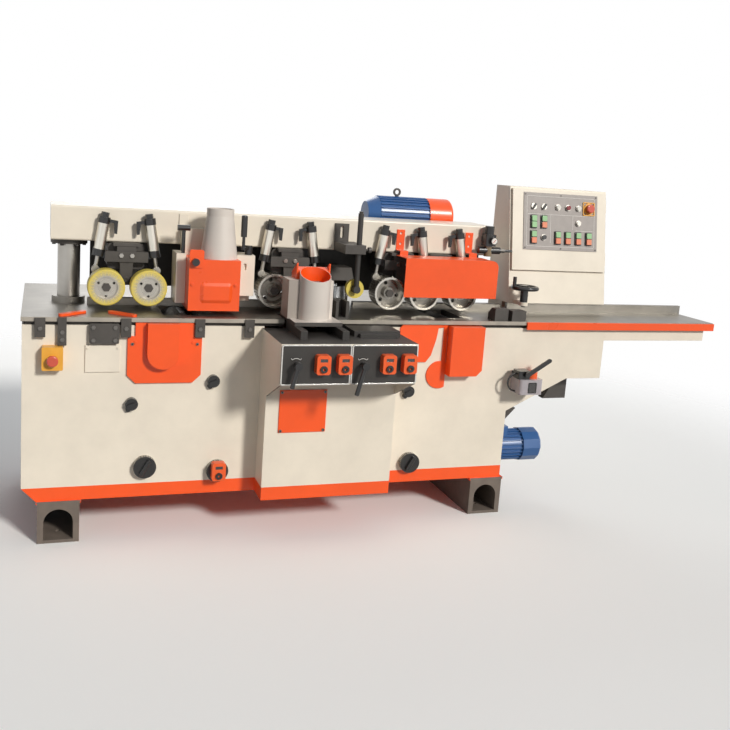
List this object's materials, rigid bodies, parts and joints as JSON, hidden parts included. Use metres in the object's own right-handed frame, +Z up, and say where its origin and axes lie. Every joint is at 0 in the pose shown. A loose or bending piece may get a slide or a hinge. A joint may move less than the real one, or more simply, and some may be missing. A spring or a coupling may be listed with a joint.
{
  "type": "four sided moulder",
  "caption": "Four sided moulder: sheet bed on two feet, upper feed beam with air-pressed feed wheels, cutter spindles, dust chutes, leaning electrical cabinet.",
  "frame": {"origin": "centre of the four anchor bolt holes, on the floor plane", "axes": "+X towards the infeed end, +Y to the back of the machine, +Z up"},
  "size_m": [2.975, 1.14, 1.408],
  "materials": {
    "cream_paint": "satin machine enamel",
    "orange_paint": "satin orange-red enamel",
    "grey_foot_paint": "hammered grey-brown paint",
    "grey_paint": "light grey enamel",
    "black_paint": "semi-matt black",
    "yellow_plastic": "moulded yellow",
    "motor_blue": "blue motor enamel",
    "casting": "dark oiled casting",
    "table_steel": "planed, oiled table iron",
    "bright_steel": "ground steel",
    "aluminium_tube": "drawn aluminium",
    "wheel_yellow": "cast polyurethane",
    "orange_plastic": "moulded orange",
    "black_plastic": "moulded black",
    "red_plastic": "moulded red",
    "bottle_plastic": "milky plastic"
  },
  "bodies": {
    "base": {"base_cabinet": "cream_paint", "base_feet": "grey_foot_paint", "bed_table": "table_steel", "rear_fence": "table_steel", "table_brackets": "casting", "left_cover": "orange_paint", "front_panels": "orange_paint", "belt_cover": "orange_paint", "console_shelf": "cream_paint", "console_panel": "black_paint", "position_counters": "orange_plastic", "setting_knobs": "black_plastic", "estop_box": "yellow_plastic", "electrical_cabinet": "cream_paint", "infeed_table": "table_steel", "lower_motor": "motor_blue", "oil_pump": "bottle_plastic", "under_bed_rail": "casting"},
    "beam_group": {"beam": "cream_paint", "lift_columns": "bright_steel", "feed_brackets": "casting", "air_cylinders": "aluminium_tube", "top_motor": "motor_blue", "wheel_guard": "orange_paint", "air_regulator": "black_plastic", "press_bracket": "casting"},
    "top_head_group": {"top_head": "cream_paint", "chip_box": "orange_paint", "top_hood": "grey_paint"},
    "door": {"electrical_door": "cream_paint", "control_plate": "grey_paint"},
    "carrier_1": {"feed_carrier_1": "casting"},
    "wheel_1": {"feed_wheel_1": "wheel_yellow"},
    "carrier_2": {"feed_carrier_2": "casting"},
    "wheel_2": {"feed_wheel_2": "wheel_yellow"},
    "carrier_3": {"feed_carrier_3": "casting"},
    "wheel_3": {"feed_wheel_3": "bright_steel"},
    "carrier_4": {"feed_carrier_4": "casting"},
    "wheel_4": {"feed_wheel_4": "bright_steel"},
    "carrier_5": {"feed_carrier_5": "casting"},
    "wheel_5": {"feed_wheel_5": "bright_steel"},
    "carrier_6": {"feed_carrier_6": "casting"},
    "wheel_6": {"feed_wheel_6": "bright_steel"},
    "carrier_7": {"feed_carrier_7": "casting"},
    "wheel_7": {"feed_wheel_7": "bright_steel"},
    "press_slider": {"press_bar": "black_paint"},
    "press_roller": {"press_wheel": "wheel_yellow"},
    "top_cutter": {"top_spindle": "bright_steel"},
    "crank": {"crank_handle": "black_plastic"},
    "left_head_group": {"left_head": "grey_paint"},
    "left_cutter": {"left_spindle": "bright_steel"},
    "right_cutter": {"right_spindle": "bright_steel"},
    "bottom_cutter_infeed": {"bottom_spindle_infeed": "bright_steel"},
    "bottom_cutter_outfeed": {"bottom_spindle_outfeed": "bright_steel"},
    "lever_left": {"clamp_lever_left": "black_plastic"},
    "lever_right": {"clamp_lever_right": "black_plastic"},
    "stop_button_left": {"estop_button_left": "red_plastic"},
    "stop_button_right": {"estop_button_right": "red_plastic"},
    "pump_arm": {"pump_lever": "black_plastic"},
    "hand_wheel": {"handwheel": "black_plastic"}
  },
  "joints": [
    {"name": "beam_lift", "type": "slide", "parent": "base", "child": "beam_group", "axis": [0, 0, 1], "range_m": [-0.008, 0.12]},
    {"name": "carrier_1_press", "type": "slide", "parent": "beam_group", "child": "carrier_1", "axis": [0.1564, 0, 0.9877], "range_m": [-0.01, 0.015]},
    {"name": "wheel_1_spin", "type": "hinge", "parent": "carrier_1", "child": "wheel_1", "pos_m": [-0.7145, -0.26, 0.937], "axis": [0, 1, 0], "continuous": true},
    {"name": "carrier_2_press", "type": "slide", "parent": "beam_group", "child": "carrier_2", "axis": [-0.1564, 0, 0.9877], "range_m": [-0.01, 0.015]},
    {"name": "wheel_2_spin", "type": "hinge", "parent": "carrier_2", "child": "wheel_2", "pos_m": [-0.5595, -0.26, 0.937], "axis": [0, 1, 0], "continuous": true},
    {"name": "carrier_3_press", "type": "slide", "parent": "beam_group", "child": "carrier_3", "axis": [0.1564, 0, 0.9877], "range_m": [-0.01, 0.015]},
    {"name": "wheel_3_spin", "type": "hinge", "parent": "carrier_3", "child": "wheel_3", "pos_m": [-0.0715, -0.26, 0.937], "axis": [0, 1, 0], "continuous": true},
    {"name": "carrier_4_press", "type": "slide", "parent": "beam_group", "child": "carrier_4", "axis": [-0.1564, 0, 0.9877], "range_m": [-0.01, 0.015]},
    {"name": "wheel_4_spin", "type": "hinge", "parent": "carrier_4", "child": "wheel_4", "pos_m": [0.0835, -0.26, 0.937], "axis": [0, 1, 0], "continuous": true},
    {"name": "carrier_5_press", "type": "slide", "parent": "beam_group", "child": "carrier_5", "axis": [0.1564, 0, 0.9877], "range_m": [-0.01, 0.015]},
    {"name": "wheel_5_spin", "type": "hinge", "parent": "carrier_5", "child": "wheel_5", "pos_m": [0.4195, -0.26, 0.937], "axis": [0, 1, 0], "continuous": true},
    {"name": "carrier_6_press", "type": "slide", "parent": "beam_group", "child": "carrier_6", "axis": [-0.1564, 0, 0.9877], "range_m": [-0.01, 0.015]},
    {"name": "wheel_6_spin", "type": "hinge", "parent": "carrier_6", "child": "wheel_6", "pos_m": [0.5745, -0.26, 0.937], "axis": [0, 1, 0], "continuous": true},
    {"name": "carrier_7_press", "type": "slide", "parent": "beam_group", "child": "carrier_7", "axis": [-0.1564, 0, 0.9877], "range_m": [-0.01, 0.015]},
    {"name": "wheel_7_spin", "type": "hinge", "parent": "carrier_7", "child": "wheel_7", "pos_m": [0.7515, -0.26, 0.937], "axis": [0, 1, 0], "continuous": true},
    {"name": "press_bar_height", "type": "slide", "parent": "beam_group", "child": "press_slider", "axis": [0, 0, 1], "range_m": [-0.055, 0.05]},
    {"name": "press_wheel_spin", "type": "hinge", "parent": "press_slider", "child": "press_roller", "pos_m": [0.262, -0.253, 0.953], "axis": [0, 1, 0], "continuous": true},
    {"name": "top_head_height", "type": "slide", "parent": "beam_group", "child": "top_head_group", "axis": [0, 0, 1], "range_m": [-0.006, 0.04]},
    {"name": "top_spindle_spin", "type": "hinge", "parent": "top_head_group", "child": "top_cutter", "pos_m": [-0.33, -0.328, 0.93], "axis": [0, 1, 0], "continuous": true},
    {"name": "crank_turn", "type": "hinge", "parent": "top_head_group", "child": "crank", "pos_m": [-0.178, -0.225, 1.075], "axis": [0, 0, 1], "range_deg": [-3600, 540]},
    {"name": "left_head_feed", "type": "slide", "parent": "base", "child": "left_head_group", "axis": [0, 1, 0], "range_m": [-0.08, 0.03]},
    {"name": "left_spindle_spin", "type": "hinge", "parent": "left_head_group", "child": "left_cutter", "pos_m": [0.036, -0.36, 0.954], "axis": [0, 0, 1], "continuous": true},
    {"name": "right_spindle_spin", "type": "hinge", "parent": "base", "child": "right_cutter", "pos_m": [0.229, -0.075, 0.942], "axis": [0, 0, 1], "continuous": true},
    {"name": "bottom_spindle_infeed_spin", "type": "hinge", "parent": "base", "child": "bottom_cutter_infeed", "pos_m": [0.662, -0.328, 0.7865], "axis": [0, 1, 0], "continuous": true},
    {"name": "bottom_spindle_outfeed_spin", "type": "hinge", "parent": "base", "child": "bottom_cutter_outfeed", "pos_m": [-0.446, -0.328, 0.7865], "axis": [0, 1, 0], "continuous": true},
    {"name": "clamp_lever_left_turn", "type": "hinge", "parent": "base", "child": "lever_left", "pos_m": [-0.089, -0.694, 0.742], "axis": [0, 1, 0], "range_deg": [-20, 70]},
    {"name": "clamp_lever_right_turn", "type": "hinge", "parent": "base", "child": "lever_right", "pos_m": [0.162, -0.694, 0.74], "axis": [0, 1, 0], "range_deg": [-40, 30]},
    {"name": "door_swing", "type": "hinge", "parent": "base", "child": "door", "pos_m": [1.513, -0.15338, 1.07063], "axis": [0, 0.1666, 0.986], "range_deg": [0, 100]},
    {"name": "stop_button_left_press", "type": "slide", "parent": "base", "child": "stop_button_left", "axis": [0, 1, 0], "range_m": [0, 0.004], "stiffness_N_per_m": 800},
    {"name": "stop_button_right_press", "type": "slide", "parent": "door", "child": "stop_button_right", "axis": [0, 0.986, -0.1666], "range_m": [0, 0.004], "stiffness_N_per_m": 800},
    {"name": "pump_lever_stroke", "type": "hinge", "parent": "base", "child": "pump_arm", "pos_m": [0.964, -0.48, 0.636], "axis": [0, 1, 0], "range_deg": [-25, 22]},
    {"name": "handwheel_turn", "type": "hinge", "parent": "base", "child": "hand_wheel", "pos_m": [1.06, -0.24, 0.972], "axis": [0, 0, 1], "continuous": true}
  ],
  "couplings": [
    {"joint": "wheel_2_spin", "follows": "wheel_1_spin", "ratio": 1},
    {"joint": "wheel_3_spin", "follows": "wheel_1_spin", "ratio": 1},
    {"joint": "wheel_4_spin", "follows": "wheel_1_spin", "ratio": 1},
    {"joint": "wheel_5_spin", "follows": "wheel_1_spin", "ratio": 1},
    {"joint": "wheel_6_spin", "follows": "wheel_1_spin", "ratio": 1},
    {"joint": "wheel_7_spin", "follows": "wheel_1_spin", "ratio": 1},
    {"joint": "crank_turn", "follows": "top_head_height", "rad_per_m": -1570.8}
  ]
}
